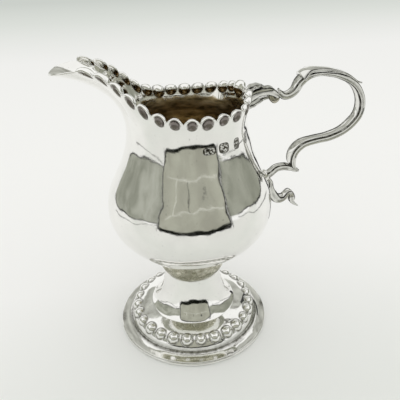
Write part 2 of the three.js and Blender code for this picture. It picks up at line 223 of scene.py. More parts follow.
turn = np.linspace(0, 2 * np.pi, 240, endpoint=False)
section = np.linspace(0, 2 * np.pi, 20, endpoint=False)
WIRE = (29.5, 0.78, 1.55, 0.78)  # the wire's middle radius and height, half width and half height
wire = np.stack([
    WIRE[0] + WIRE[2] * np.sign(np.cos(section)) * np.abs(np.cos(section)) ** 0.6,
    WIRE[1] + WIRE[3] * np.sign(np.sin(section)) * np.abs(np.sin(section)) ** 0.6,
], -1)
rings = turned(wire, turn)
rings[..., :2] *= (1 + hammering(rings, (19, 13, 9), 0.12, 3) / FOOT_RADIUS)[..., None]
foot_rim = skin("foot_rim_wire", rings, loop=True)
paint(foot_rim, "tarnish_and_shade", np.zeros(rings.shape[:2]))
plain_silver = silver("polished_silver")
set_piece(foot_rim, "foot_rim", plain_silver)

# ---- foot ---------------------------------------------------------------------------------------
# The hollow foot is raised from one sheet: a trumpet stem, a narrow step, and a shoulder with a ring
# of round bosses punched up from inside, running out into a flat flange soldered to the rim wire.
# Silver, dark round the bosses, with a dark line of dirt and painted reflection in the crease, and painted
# shade at each side of its edge.
STEM_RADIUS, STEM_TOP = 10.7, 25.4
STEP_RADIUS, STEP_HEIGHT = 17.4, 9.5
SHOULDER_RADIUS, FLANGE_LEVEL, FLANGE_RADIUS = 26.2, 2.0, 31.0
SHEET = 0.6
BOSSES, BOSS_RADIUS, BOSS_HEIGHT, BOSS_RING = 27, 2.4, 1.6, 24.0
CREASE_RADIUS, SIDE_SHADE_ANGLES, SIDE_SHADE_RADIUS = SHOULDER_RADIUS + 0.5, (3.08, 6.18), 28.6


def along_line(points, count):
    """The same line with `count` evenly spaced points."""
    step = np.linalg.norm(np.diff(points, axis=0), axis=1)
    run = np.concatenate([[0], np.cumsum(step)])
    at = np.linspace(0, run[-1], count)
    return np.stack([np.interp(at, run, points[:, k]) for k in range(points.shape[1])], -1), at


def sideways(points):
    """Unit normals to the left of a flat line."""
    d = np.gradient(points, axis=0)
    d /= np.linalg.norm(d, axis=1)[:, None]
    return np.stack([-d[:, 1], d[:, 0]], -1)


t = np.linspace(0, 1, 60)
stem = bezier([(STEM_RADIUS, STEM_TOP), (STEM_RADIUS + 0.6, STEM_TOP * 0.87),
               (STEM_RADIUS * 1.2, STEP_HEIGHT + 3.3), (STEP_RADIUS, STEP_HEIGHT)], t)
shoulder = bezier([(STEP_RADIUS, STEP_HEIGHT), (mix(STEP_RADIUS, SHOULDER_RADIUS, 0.45), STEP_HEIGHT - 0.9),
                   (mix(STEP_RADIUS, SHOULDER_RADIUS, 0.87), FLANGE_LEVEL + 5.8),
                   (SHOULDER_RADIUS, FLANGE_LEVEL + 1.6)], t)
flange = bezier([(SHOULDER_RADIUS, FLANGE_LEVEL + 1.6),
                 (mix(SHOULDER_RADIUS, FLANGE_RADIUS, 0.07), FLANGE_LEVEL + 0.5),
                 (mix(SHOULDER_RADIUS, FLANGE_RADIUS, 0.25), FLANGE_LEVEL),
                 (FLANGE_RADIUS - 0.2, FLANGE_LEVEL)], t)
outline, run = along_line(np.vstack([stem, shoulder[1:], flange[1:]]), 150)
normal = sideways(outline)  # the line runs down and out, so its left side is outside
ring_at = run[np.argmin(np.abs(outline[:, 0] - BOSS_RING))]
columns = np.linspace(0, 2 * np.pi, BOSSES * 16, endpoint=False)
pitch = 2 * np.pi / BOSSES
rng = np.random.default_rng(5)
nearest = np.round(columns / pitch).astype(int) % BOSSES
shift, size = rng.normal(0, 0.10, BOSSES), rng.normal(1, 0.05, BOSSES)
offset = (columns - np.round(columns / pitch) * pitch)[None, :] * outline[:, 0, None] - shift[nearest]
distance = np.hypot(offset, (run - ring_at)[:, None]) / (BOSS_RADIUS * size[nearest])
raised = BOSS_HEIGHT * size[nearest] * np.clip(1 - distance**2, 0, 1) ** 0.8
outer = turned(outline, columns)
way = turned(normal, columns)
waves = hammering(outer, (22, 17, 12, 9, 6, 5), 0.16, 11)
outer = outer + way * (raised + waves)[..., None]
inner = (turned(outline - normal * SHEET, columns) + way * (raised + waves)[..., None])[::-1][::2]
foot = skin("foot_shell", np.concatenate([outer, inner]), loop=True)
edge_dirt = np.clip(1 - np.abs(distance - 1.02) / 0.2, 0, 1) * 0.9
# A dark line round the crease: dirt, and a painted dark reflection.
crease = 0.95 * np.exp(-(((outline[:, 0] - CREASE_RADIUS) / 0.6) ** 2))[:, None]
# Painted shade at the flange's left and right edges, where the silver mirrors the dark side walls.
side_shade = sum(0.9 * np.exp(-(((columns - angle) / 0.10) ** 2)) for angle in SIDE_SHADE_ANGLES)
side_shade = side_shade * smooth(outline[:, 0], SIDE_SHADE_RADIUS, SIDE_SHADE_RADIUS + 1.6)[:, None]
top_dirt = 0.5 * smooth(outer[..., 2], STEM_TOP - 0.9, STEM_TOP)
outside_dirt_and_shade = np.minimum(edge_dirt + crease + side_shade, 1) + top_dirt
paint(foot, "tarnish_and_shade", np.concatenate([outside_dirt_and_shade, np.full(inner.shape[:2], 0.55)]))
foot_silver = silver("foot_silver", 0.4, (0.92, 0.915, 0.89), (0.07, 0.065, 0.045))
set_piece(foot, "foot", foot_silver)

# ---- collet -------------------------------------------------------------------------------------
# A cast conical ring that joins the foot to the bowl. Its upper lip spreads under the bowl. It is
# dull: solder has flowed over it, and tarnish sits in the seam where it meets the stem.
COLLET_LOW, COLLET_TOP_RADIUS, COLLET_LIP, THROAT = 25.3, 15.3, 16.6, 9.0
SEAM_LEVEL = 26.8
BELLY_RADIUS, BOWL_DEPTH, BOWL_BOTTOM = 31.2, 27.6, 28.0
BELLY_LEVEL = BOWL_BOTTOM + BOWL_DEPTH
BELLY_HALF = [(0, BOWL_BOTTOM), (BELLY_RADIUS * 0.17, BOWL_BOTTOM + BOWL_DEPTH * 0.02),
              (BELLY_RADIUS, BOWL_BOTTOM + BOWL_DEPTH * 0.43), (BELLY_RADIUS, BELLY_LEVEL)]
under = bezier(BELLY_HALF, np.linspace(0, 1, 400))
lip_level = np.interp(COLLET_LIP, under[:, 0], under[:, 1])
throat_level = np.interp(THROAT, under[:, 0], under[:, 1])
cup = bezier([(STEM_RADIUS + 0.2, COLLET_LOW), (12.6, COLLET_LOW + 2.2), (14.4, COLLET_LOW + 5.4),
              (COLLET_TOP_RADIUS, lip_level - 1.0)], t)
lip = bezier([(COLLET_TOP_RADIUS, lip_level - 1.0), (COLLET_TOP_RADIUS + 0.3, lip_level - 0.4),
              (COLLET_LIP + 0.3, lip_level - 0.6), (COLLET_LIP + 0.2, lip_level + 0.25)],
             np.linspace(0, 1, 14))
back = np.array([(COLLET_LIP - 1, lip_level - 0.2), (12.5, throat_level + 1), (THROAT, throat_level - 0.1),
                 (THROAT, COLLET_LOW), (STEM_RADIUS - 0.6, COLLET_LOW - 0.3)])
outline, run = along_line(np.vstack([cup, lip[1:], back]), 110)
rings = turned(outline, np.linspace(0, 2 * np.pi, 300, endpoint=False))
lumps = hammering(rings, (9, 7, 5, 3.4, 2.6), 0.22, 23) * smooth(run, 0, 1)[:, None]
rings[..., :2] *= (1 + lumps / STEM_RADIUS)[..., None]
collet = skin("collet_ring", rings, loop=True)
lip_run = np.interp(lip_level - 0.5, outline[:60, 1], run[:60])
lines = np.exp(-(((run - lip_run + 0.5) / 0.28) ** 2)) + np.exp(-(((run - lip_run - 2.2) / 0.3) ** 2))
paint(collet, "tarnish_and_shade", np.broadcast_to(np.clip(lines, 0, 1)[:, None], rings.shape[:2]))
s = silver("soldered_collet", 0.5, (0.86, 0.85, 0.79))
height = s.add("ShaderNodeSeparateXYZ", Vector=s.place).outputs["Z"]
wander = s.math("MULTIPLY", s.noise(3.0, 4), 2.2 * MM)
above_seam = s.math("SUBTRACT", s.math("ADD", height, wander), SEAM_LEVEL * MM)
seam = s.steps(s.math("MULTIPLY", above_seam, 0.5 / MM), [(0.0, 0.55), (0.12, 0.95), (0.28, 0.0)])
mottle = s.steps(s.noise(2.2, 5), [(0.36, 0.0), (0.52, 0.55), (0.64, 0.1), (0.74, 0.75)])
patch = s.math("MAXIMUM", seam, mottle)
dull = s.blend(s.noise(1.5, 3), (0.66, 0.64, 0.53), (0.80, 0.79, 0.70))
s.put(s.surface, "Base Color", s.blend(patch, dull, (0.23, 0.22, 0.13)))
s.put(s.surface, "Roughness", s.steps(s.noise(2.0), [(0.3, 0.16), (0.7, 0.38)]))
set_piece(collet, "collet", s)

# ---- bowl ---------------------------------------------------------------------------------------
# One raised sheet of silver, pear-shaped, its rim drawn out into a long lip. Round hollows are
# punched into the rim from outside, so they stand out as beads inside, and the edge is cut in
# scallops round them. Hammered, polished outside, tarnished brown inside.
WALL = 0.55
NECK_RISE, NECK_RADIUS, NECK_BASE = 38.0, 21.2, 0.75
RIM_RADIUS, RIM_LEVEL, RIM_HANDLE_RISE = 22.3, BELLY_LEVEL + 38.2, 3.6
LIP_RISE, LIP_REACH, LIP_HALF_WIDTH = 15.5, 44.5, 8.4
SCALLOPS, SCALLOP_HEIGHT, SCALLOP_START, PLAIN_LIP = 14, 1.7, 3.6, 14.5
PUNCH_RADIUS, PUNCH_DEPTH = 1.75, 1.1
BEAD_RADIUS, BEAD_DEPTH = 2.35, 2.0
PUNCHED_BAND = 3.0  # how far the punched hollows reach below the rim's valleys

# Half of the rim's line, from the handle round to the tip of the lip: x, y and height over its valleys.
R, H, L, P, W = RIM_RADIUS, RIM_HANDLE_RISE, LIP_RISE, LIP_REACH, LIP_HALF_WIDTH
half = np.array([
    (R, 0, H), (0.93 * R, 0.37 * R, 0.85 * H), (0.73 * R, 0.75 * R, 0.35 * H), (0.35 * R, 0.94 * R, 0.08 * H),
    (-0.05 * R, R, 0), (-0.38 * R, 0.94 * R, 0.03 * L), (-0.67 * R, 0.79 * R, 0.17 * L),
    (-0.47 * P, (W + R) / 2, 0.48 * L), (-0.65 * P, 1.3 * W, 0.88 * L), (-0.81 * P, W, L),
    (-0.93 * P, 0.83 * W, 0.95 * L), (-0.985 * P, 0.4 * W, 0.89 * L), (-P, 0, 0.86 * L),
])


def rounded_line(points, closed=False, fine=40):
    """A smooth line through points: a Catmull-Rom spline whose knots are spaced by the square root
    of the distance between the points (Barry and Goldman's pyramid of straight mixes)."""
    p = np.array(points, float)
    p = np.vstack([p[-1:], p, p[:2]]) if closed else np.vstack([2 * p[0] - p[1], p, 2 * p[-1] - p[-2]])
    made = []
    for a, b, c, d in zip(p[:-3], p[1:-2], p[2:-1], p[3:]):
        gaps = [max(np.linalg.norm(y - x), 1e-6) ** 0.5 for x, y in ((a, b), (b, c), (c, d))]
        k = np.concatenate([[0], np.cumsum(gaps)])
        u = np.linspace(k[1], k[2], fine, endpoint=False)[:, None]
        ab = (k[1] - u) / (k[1] - k[0]) * a + (u - k[0]) / (k[1] - k[0]) * b
        bc = (k[2] - u) / (k[2] - k[1]) * b + (u - k[1]) / (k[2] - k[1]) * c
        cd = (k[3] - u) / (k[3] - k[2]) * c + (u - k[2]) / (k[3] - k[2]) * d
        abc = (k[2] - u) / (k[2] - k[0]) * ab + (u - k[0]) / (k[2] - k[0]) * bc
        bcd = (k[3] - u) / (k[3] - k[1]) * bc + (u - k[1]) / (k[3] - k[1]) * cd
        made.append((k[2] - u) / (k[2] - k[1]) * abc + (u - k[1]) / (k[2] - k[1]) * bcd)
    end = made[0][:1] if closed else p[-2:-1]
    return np.vstack(made + [end])


mirrored = half[1:-1][::-1] * [1, -1, 1]
edge_line = rounded_line(np.vstack([half, mirrored]) + [0, 0, RIM_LEVEL], closed=True, fine=200)
edge_run = np.concatenate([[0], np.cumsum(np.linalg.norm(np.diff(edge_line, axis=0), axis=1))])
girth = edge_run[-1]

# Places along the rim: sixteen to a scallop, and enough round the handle's root and the lip.
pitch = (girth / 2 - PLAIN_LIP - SCALLOP_START) / SCALLOPS
side = np.concatenate([
    np.linspace(0, SCALLOP_START, 7)[:-1],
    np.linspace(SCALLOP_START, girth / 2 - PLAIN_LIP, SCALLOPS * 16, endpoint=False),
    girth / 2 - PLAIN_LIP * (1 - np.linspace(0, 1, 24)),
])
s_all = np.concatenate([side, girth - side[1:-1][::-1]])
edge = np.stack([np.interp(s_all, edge_run, edge_line[:, k]) for k in range(3)], -1)
from_handle = np.minimum(s_all, girth - s_all)
far = s_all < girth / 2

# Each punched hollow differs a little in place, size and depth; the far one by the handle is large.
rng = np.random.default_rng(9)
which = np.clip(((from_handle - SCALLOP_START) / pitch).astype(int), 0, SCALLOPS - 1)
tool = which + np.where(far, 0, SCALLOPS)
punch_shift = rng.normal(0, 0.12, 2 * SCALLOPS)[tool]
punch_size = rng.normal(1, 0.05, 2 * SCALLOPS)
punch_size[0] = 1.3
punch_size = punch_size[tool]
punch_level = rng.normal(0.0, 0.12, 2 * SCALLOPS)[tool]
from_punch = from_handle - SCALLOP_START - (which + 0.5) * pitch - punch_shift
beaded = (from_handle > SCALLOP_START) & (from_handle < girth / 2 - PLAIN_LIP)
across = np.clip(np.abs(from_handle - SCALLOP_START - (which + 0.5) * pitch) / (pitch / 2), 0, 1)
scallop = np.where(beaded, SCALLOP_HEIGHT * punch_size * (1 - across**2.2) ** 0.62, 0)

# The half-section through each place on the rim, sampled finely from the base of the neck.
upper = [(BELLY_RADIUS, BELLY_LEVEL), (BELLY_RADIUS, BELLY_LEVEL + NECK_RISE * 0.32),
         (NECK_RADIUS, BELLY_LEVEL + NECK_RISE * 0.455), (NECK_RADIUS, BELLY_LEVEL + NECK_RISE)]
start = bezier(upper, NECK_BASE)
rising = bezier(upper, NECK_BASE + 1e-4) - bezier(upper, NECK_BASE - 1e-4)
rising /= np.linalg.norm(rising)
reach = np.hypot(edge[:, 0], edge[:, 1])
tilt = np.radians(mix(15, 80, smooth(-edge[:, 0] / LIP_REACH, 0.4, 1)))
span = np.hypot(reach - start[0], edge[:, 2] - start[1])
pull = span * mix(0.42, 0.5, tilt)
v = np.linspace(0, 1, 160)[:, None]
knots = [np.broadcast_to(start, (len(s_all), 2)), start + rising * pull[:, None],
         np.stack([reach - np.sin(tilt) * span * 0.38, edge[:, 2] - np.cos(tilt) * span * 0.38], -1),
         np.stack([reach, edge[:, 2]], -1)]
neck = sum(w[:, :, None] * k[None] for w, k in zip(
    ((1 - v) ** 3, 3 * v * (1 - v) ** 2, 3 * v * v * (1 - v), v**3), knots))
neck_run = np.concatenate([np.zeros((1, len(s_all))),
                           np.cumsum(np.linalg.norm(np.diff(neck, axis=0), axis=2), axis=0)])
ending = neck[-1] - neck[-3]
ending /= np.linalg.norm(ending, axis=1)[:, None]


def bowl_rings(body_rows, neck_rows):
    """Rings up the bowl's outside, and how far below the rim's valleys each point is (mm): rows of
    the body, then of the neck, then close rows through the punched band up to the scallops' edge."""
    t_low = np.linspace(0, 1, body_rows // 2 + 1)[1:] ** 0.8
    t_up = np.linspace(0, NECK_BASE, body_rows - body_rows // 2)[1:]
    body = np.vstack([bezier(BELLY_HALF, t_low), bezier(upper, t_up)])
    body = np.broadcast_to(body[:, None], (len(body), len(s_all), 2))
    band = 2.6
    total = neck_run[-1]
    down = np.vstack([total * (1 - np.linspace(0, 1, neck_rows)[1:, None]) +
                      band * np.linspace(0, 1, neck_rows)[1:, None],
                      band * (1 - np.linspace(0, 1, 14)[1:, None]) + 0 * total])
    at = total - down
    found = np.stack([np.stack([np.interp(at[:, j], neck_run[:, j], neck[:, j, k])
                                for j in range(len(s_all))], 1) for k in (0, 1)], -1)
    lift = np.linspace(0, 1, 11)[1:, None] * (scallop + 0.25)
    top = neck[-1] + ending * lift[..., None]
    flat = np.vstack([body, found, top])
    below = np.vstack([np.full(body.shape[:2], 40.0), down, -lift])
    bearing = edge[:, :2] / reach[:, None]
    return np.concatenate([flat[..., :1] * bearing, flat[..., 1:]], -1), below


def outward(rings):
    """Unit normals of rings of points, pointing away from the axis or up."""
    around = np.roll(rings, -1, 1) - np.roll(rings, 1, 1)
    upward = np.gradient(rings, axis=0)
    n = np.cross(around, upward)
    return n / np.maximum(np.linalg.norm(n, axis=2), 1e-9)[..., None]


def punched(below, radius, depth):
    """Depth of the round hollows: a cap, depth x (1 - (distance / radius)^2)^0.7, at each punch."""
    distance = np.hypot(from_punch[None], below + 0.15 - punch_level) / (radius * punch_size)
    return np.where(beaded, depth * punch_size * np.clip(1 - distance**2, 0, 1) ** 0.7, 0), distance


# The sheet's outside, then its inside. Each punch pushes both inwards: it is a hollow on the one and
# stands up as a bead on the other.
sheets = []
for offset, radius, sunk, rows in ((0.0, PUNCH_RADIUS, PUNCH_DEPTH, (54, 30)),
                                   (WALL, BEAD_RADIUS, BEAD_DEPTH, (34, 22))):
    rings, below = bowl_rings(*rows)
    way = outward(rings)
    hollow, distance = punched(below, radius, sunk)
    waves = hammering(rings, (31, 24, 19, 16), 0.22, 31)
    waves += hammering(rings, (9, 7.5, 6.3, 5.2, 4.4), 0.075, 37)
    waves = waves * smooth(rings[..., 2], BOWL_BOTTOM + 1, BOWL_BOTTOM + 9)
    sheets.append((rings + way * (waves - offset - hollow)[..., None], below, distance))
(out_rings, out_below, out_distance), (in_rings, in_below, in_distance) = sheets
crest = (out_rings[-1:] + in_rings[-1:]) / 2
crest[0, :, 2] += 0.16
in_rings, in_below, in_distance = in_rings[::-1], in_below[::-1], in_distance[::-1]  # down again
bowl = skin("bowl_shell", np.concatenate([out_rings, crest, in_rings]),
            first=(0, 0, out_rings[0, :, 2].mean() - 0.02), last=(0, 0, in_rings[-1, :, 2].mean() - 0.02))
along_crest, nowhere = np.ones((1, len(s_all))), np.zeros(in_below.shape)
paint(bowl, "inside", np.concatenate([np.zeros(out_below.shape), 0.5 * along_crest, nowhere + 1]))
paint(bowl, "below_rim", np.concatenate([out_below, -2 * along_crest, in_below]))
# Dark lines round each punched hollow's edge outside: tarnish, and painted shade.
collar = np.clip(1 - np.abs(out_distance - 1.0) / 0.10, 0, 1) * 0.5 * (out_below < PUNCHED_BAND)
beads = np.clip(1 - np.abs(in_distance - 1.05) / 0.16, 0, 1) * 0.95 * (in_below < PUNCHED_BAND)
beads = beads * mix(0.3, 1, smooth(in_rings[..., 0], -24, -12))  # cleaner along the lip
ring = 0.9 * np.exp(-(((out_distance - 1.04) / 0.09) ** 2)) * (out_below > 0.6) * (out_below < 3.2)
paint(bowl, "tarnish_and_shade", np.concatenate([np.maximum(collar, ring), 0 * along_crest, beads]))
# The inside of each punched hollow outside gets a dusky pinkish grey: a painted reflection of the tent's
# opening.
pit = (1 - smooth(out_distance, 0.93, 1.08)) * (out_below < PUNCHED_BAND)
paint(bowl, "pit", np.concatenate([pit, 0 * along_crest, nowhere]))

s = silver("bowl_silver", 0.32, dark=(0.06, 0.055, 0.04))
inside = s.add("ShaderNodeAttribute", {"attribute_name": "inside"}).outputs["Fac"]
below = s.add("ShaderNodeAttribute", {"attribute_name": "below_rim"}).outputs["Fac"]
edge_wander = s.math("MULTIPLY", s.math("SUBTRACT", s.noise(5, 4), 0.5), 6.0)
level = s.add("ShaderNodeSeparateXYZ", Vector=s.place).outputs["Z"]
below_valleys = s.math("DIVIDE", s.math("SUBTRACT", RIM_LEVEL * MM, level), MM)
deep_enough = s.math("MINIMUM", s.math("ADD", below_valleys, edge_wander), s.math("MULTIPLY", below, 1.3))
stained = s.math("MULTIPLY", s.steps(inside, [(0.5, 0.0), (0.7, 1.0)]),
                 s.steps(s.math("DIVIDE", deep_enough, 10.0), [(0.26, 0.0), (0.34, 1.0)]))
streak = s.noise(5.0, 5, (1.0, 1.0, 3.2))
brown = s.steps(streak, [(0.32, (0.17, 0.13, 0.065)), (0.50, (0.50, 0.395, 0.225)),
                         (0.68, (0.86, 0.73, 0.50))])
old_colour = s.surface.inputs["Base Color"].links[0].from_socket
s.put(s.surface, "Base Color", s.blend(stained, old_colour, brown))
# The grey painted in the punched hollows is a painted reflection of the tent's opening.
pit = s.add("ShaderNodeAttribute", {"attribute_name": "pit"}).outputs["Fac"]
hollow_reflection_grey = s.blend(s.noise(0.9, 3), (0.11, 0.09, 0.083), (0.27, 0.23, 0.212))
plain = s.surface.inputs["Base Color"].links[0].from_socket
s.put(s.surface, "Base Color", s.blend(s.math("MULTIPLY", pit, 0.9), plain, hollow_reflection_grey))
old_rough = s.surface.inputs["Roughness"].links[0].from_socket
s.put(s.surface, "Roughness", s.math("ADD", s.math("MULTIPLY", pit, 0.22),
                                     s.math("ADD", old_rough, s.math("MULTIPLY", stained, 0.30))))

# Four small punched marks below the rim, near the handle: blank shields and ovals with a worn,
# unreadable relief. Each is measured along and up the bowl from its own middle.
MARKS = [((3.26, -21.62, 84.83), 2.3, 1.25), ((8.4, -20.17, 84.98), 2.0, 1.7),
         ((13.23, -17.36, 85.11), 1.35, 1.9), ((17.68, -12.79, 85.15), 1.25, 2.1)]
MARK_DEPTH, MARK_REACH, NECK_AT_MARKS = 0.25, 3.0, 22.0
relief = s.steps(s.add("ShaderNodeTexVoronoi", Vector=s.place, Scale=1500.0).outputs["Distance"],
                 [(0.25, 0.0), (0.6, 1.0)])
struck = None
for centre, half_width, half_height in MARKS:
    middle = np.array(centre) * MM + AXIS
    sideways_way = np.array([-centre[1], centre[0], 0.0])
    sideways_way /= np.linalg.norm(sideways_way)
    gap = s.add("ShaderNodeVectorMath", {"operation": "SUBTRACT"}, _0=s.place, _1=tuple(middle)).outputs[0]
    ways = ((sideways_way, half_width), (np.array([0, 0.0, 1.0]), half_height),
            (np.array(centre) * [1, 1, 0] / NECK_AT_MARKS, MARK_REACH))
    far_off = None
    for direction, size in ways:
        part = s.add("ShaderNodeVectorMath", {"operation": "DOT_PRODUCT"}, _0=gap, _1=tuple(direction))
        share = s.math("POWER", s.math("DIVIDE", s.math("ABSOLUTE", part.outputs["Value"]), size * MM), 3.0)
        far_off = share if far_off is None else s.math("ADD", far_off, share)
    mark = s.steps(far_off, [(0.0, 0.8), (0.55, 0.55), (0.85, 1.0), (1.0, 1.0), (1.25, 0.0)])
    border = s.steps(far_off, [(0.5, 0.0), (0.8, 0.6), (1.2, 0.6), (1.3, 0.0)])
    mark = s.math("MULTIPLY", mark, s.math("ADD", s.math("MULTIPLY", relief, 0.7), border))
    struck = mark if struck is None else s.math("MAXIMUM", struck, mark)
struck = s.math("MULTIPLY", struck, s.steps(inside, [(0.2, 1.0), (0.4, 0.0)]))
base = s.surface.inputs["Base Color"].links[0].from_socket
blacked = s.math("MINIMUM", s.math("MULTIPLY", struck, 1.9), 1.0)
s.put(s.surface, "Base Color", s.blend(blacked, base, (0.05, 0.045, 0.03)))
bump = s.surface.inputs["Normal"].links[0].from_node
deep = s.add("ShaderNodeBump", Strength=1.0, Distance=MARK_DEPTH * MM, Height=s.math("SUBTRACT", 1.0, struck),
             Normal=bump.outputs[0])
s.put(s.surface, "Normal", deep.outputs[0])
set_piece(bowl, "bowl", s)

# ---- main scroll --------------------------------------------------------------------------------
# The handle's big cast S: a grooved strap that springs from the upper scroll, flares under the thumb
# leaf, sweeps round and ends in a heel. Cast silver, its grooves dark with old polish and its edges
# and corners darkened with painted shade.
ROOT_LEVEL = RIM_LEVEL + 1.2
JOINT_LEVEL = 63.4
JOINT_X = 29.97
STRAP_WIDTH, STRAP_THICK, LEAF_WIDTH = 5.4, 2.5, 8.4


def swept(name, points, width, thick, groove=0.0, edge_groove=0.0, dish=0.0, bend=None, rings=80, around=40,
          lumps=0.10, seed=1, squareness=0.45):
    """A bar carried along a smooth line through (x, z) points in the handle's upright plane.
    Its section is a squared oval, |cos|^q across and |sin|^q out. `groove` sinks a channel down the
    middle of both faces, `edge_groove` one down each edge, and `dish` bends the section's sides.
    width and thick are functions of the place along it, 0 to 1; `bend` moves the finished points.
    Tarnish is painted along the channel's banks, and painted shade along the section's corners and the middle
    of its edges."""
    line = rounded_line([(x, 0, z) for x, z in points])
    line, run = along_line(line, rings)
    share = run / run[-1]
    ahead = np.gradient(line, axis=0)
    ahead /= np.linalg.norm(ahead, axis=1)[:, None]
    out = np.stack([ahead[:, 2], 0 * share, -ahead[:, 0]], -1)
    angle = np.linspace(0, 2 * np.pi, around, endpoint=False)
    a = np.sign(np.cos(angle)) * np.abs(np.cos(angle)) ** squareness
    b = np.sign(np.sin(angle)) * np.abs(np.sin(angle)) ** squareness
    channel = groove * np.exp(-((a / 0.42) ** 2)) * np.abs(b)
    rebate = edge_groove * np.exp(-((b / 0.35) ** 2)) * np.abs(a)
    a_cut, b_cut = a * (1 - rebate), b * (1 - channel)
    wide = np.array([width(x) for x in share])[:, None] / 2 * a_cut
    deep = np.array([thick(x) for x in share])[:, None] / 2 * b_cut + dish * (a**2 - 0.5)
    points = line[:, None] + out[:, None] * deep[..., None] + np.array([0, 1.0, 0]) * wide[..., None]
    points = points + out[:, None] * (hammering(points, (7, 5, 3.6, 2.5), lumps, seed) * np.abs(b))[..., None]
    if bend:
        points = bend(points, share[:, None], a[None], b[None])
    piece = skin(name, points)
    # Tarnish on the channel's banks; painted shade on the section's corners and the middle of its edges.
    banks = np.exp(-(((np.abs(a) - 0.66) / 0.17) ** 2)) * (np.abs(b) > 0.5) * (groove > 0)
    corners = np.exp(-(((np.abs(b) - 0.8) / 0.11) ** 2)) * (np.abs(a) > 0.75)
    dark = 0.8 * banks + corners + 0.35 * np.exp(-((b / 0.3) ** 2))
    fade = 0.8 + 0.2 * np.sin(share * 23 + seed)[:, None]
    paint(piece, "tarnish_and_shade", np.clip(1.9 * dark * fade, 0, 1.7))
    return piece


def hump(x, place, reach):
    """A rounded hump of height 1 about a place: cos^2, falling to 0 at `reach` on each side."""
    return np.cos(np.pi / 2 * min(1, abs(x - place) / reach)) ** 2


def from_root(points):
    return [(x, ROOT_LEVEL + z) for x, z in points]


def main_width(x):
    grown = STRAP_WIDTH * mix(0.72, 1, smooth(x, 0, 0.4)) * mix(1, 1.2, smooth(x, 0.7, 0.95))
    return grown + (LEAF_WIDTH * 0.9 - STRAP_WIDTH) * hump(x, 0.15, 0.10)


def main_thick(x):
    return STRAP_THICK * (1 - 0.4 * hump(x, 0.24, 0.16)) * mix(1, 0.85, x)


main_scroll = swept("main_scroll_bar", from_root([
    (33.2, 1.2), (35.2, -0.2), (37.2, -0.2), (39.4, 1.3), (41.0, 4.2), (43.6, 6.3), (47.6, 6.9), (52.4, 6.4),
    (57.6, 4.9), (62.3, 2.2), (65.2, -1.8), (66.2, -6.2), (65.5, -10.0), (63.1, -13.2), (59.8, -15.7),
    (54.8, -17.6), (48.5, -18.5), (43.9, -19.6), (41.1, -22.2), (40.2, -25.4), (40.7, -28.1), (42.3, -29.8),
]), main_width, lambda x: main_thick(x) * mix(1, 0.45, smooth(x, 0.94, 1)),
    groove=0.42, edge_groove=0.16, rings=260, around=48, seed=41)
handle_silver = silver("cast_silver", 0.45, (0.86, 0.855, 0.82), (0.03, 0.028, 0.02))
set_piece(main_scroll, "main_scroll", handle_silver)

# ---- upper scroll and its leaves ----------------------------------------------------------------
# A short scroll soldered to the rim over a bead, with a leaf above it, a leaf below it, and a curl
# that hangs where it meets the main scroll. Cast silver with flooded solder.
upper_scroll = swept("upper_scroll_bar", from_root([
    (20.9, -1.4), (22.2, -0.4), (23.6, 0.5), (26.2, 1.8), (28.9, 2.0), (31.2, 1.2), (33.3, -0.2)]),
    lambda x: 4.2 * mix(0.75, 1, np.sin(np.pi * x)), lambda x: 3.1 * mix(1, 0.7, smooth(x, 0.6, 1)),
    groove=0.25, rings=90, lumps=0.4, seed=43)
set_piece(upper_scroll, "upper_scroll", handle_silver)

# The curl is given a darker, yellower silver than the rest of the handle.
curl_silver = silver("darker_curl", 0.6, (0.60, 0.57, 0.47), (0.05, 0.045, 0.03))
upper_curl = swept("upper_curl_drop", from_root([
    (30.3, 0.4), (30.9, -1.0), (31.8, -1.7), (32.7, -1.2), (33.0, -0.2)]),
    lambda x: 3.2 * mix(0.7, 1, np.sin(np.pi * x)), lambda x: 2.0, groove=0.3, rings=40, seed=47)
set_piece(upper_curl, "upper_curl", curl_silver)


def lobes(points, share, a, b):
    """Leaf edges: three lobes along it, and a rib that stands up down its middle."""
    shrink = 1 - 0.28 * np.abs(a) * np.sin(3 * np.pi * share + 0.5) ** 2
    points = points.copy()
    points[..., 1] *= shrink
    points[..., 2] += 0.35 * np.exp(-((a / 0.25) ** 2)) * np.sin(np.pi * share)
    return points


upper_leaf = swept("upper_leaf_blade", from_root([
    (21.6, 2.4), (23.2, 3.6), (25.0, 4.1), (26.8, 4.0), (28.2, 3.0)]),
    lambda x: 5.6 * mix(0.5, 1, np.sin(np.pi * min(1, x + 0.15))), lambda x: 0.9,
    groove=0.2, bend=lobes, rings=50, lumps=0.3, seed=53)
set_piece(upper_leaf, "upper_leaf", handle_silver)
lower_leaf = swept("lower_leaf_blade", from_root([
    (21.9, -4.4), (23.2, -3.2), (24.8, -2.3), (26.9, -1.3), (29.6, -0.7)]),
    lambda x: 4.4 * mix(0.45, 1, np.sin(np.pi * min(1, x + 0.1))), lambda x: 0.95,
    groove=0.2, bend=lobes, rings=50, lumps=0.3, seed=59)
set_piece(lower_leaf, "lower_leaf", handle_silver)

# ---- thumb leaf ---------------------------------------------------------------------------------
# A thin blade along the top of the handle, wide where the thumb presses and drawn to a short spur.
# The corners of its wide end are turned down. Cast silver, soldered to the main scroll.
def leaf_width(x):
    wide = LEAF_WIDTH * mix(1, 0.55, smooth(x, 0, 0.45))
    return mix(wide, 1.6, smooth(x, 0.6, 1))


def hooked(points, share, a, b):
    """Bends the wide end's two corners down and towards the strap."""
    points = points.copy()
    corner = smooth(np.abs(a), 0.35, 1.0) * (1 - smooth(share, 0.0, 0.16))
    points[..., 2] -= 1.5 * corner
    points[..., 0] += 0.9 * corner
    return points


